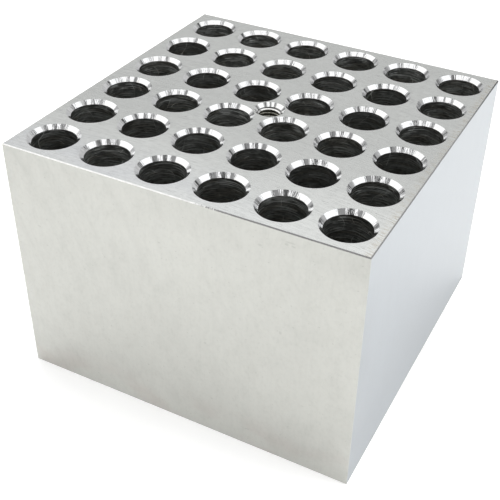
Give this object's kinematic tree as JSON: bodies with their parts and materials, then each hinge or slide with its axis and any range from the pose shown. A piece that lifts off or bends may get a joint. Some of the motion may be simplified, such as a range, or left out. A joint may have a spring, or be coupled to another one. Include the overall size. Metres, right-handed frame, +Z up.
{
  "type": "heat block insert",
  "caption": "Square aluminium heating block with a grid of round blind wells for tubes and a tapped lifting hole in the middle of its top face.",
  "frame": {"origin": "middle of the underside", "axes": "+Z up, out of the wells' mouths; X and Y along the two rows of wells, square to the side faces"},
  "size_m": [0.15, 0.15, 0.11],
  "materials": {
    "aluminium": "fine milled faces, bright turned chamfers, dark bores"
  },
  "bodies": {
    "root": {"heat_block": "aluminium"}
  },
  "joints": []
}
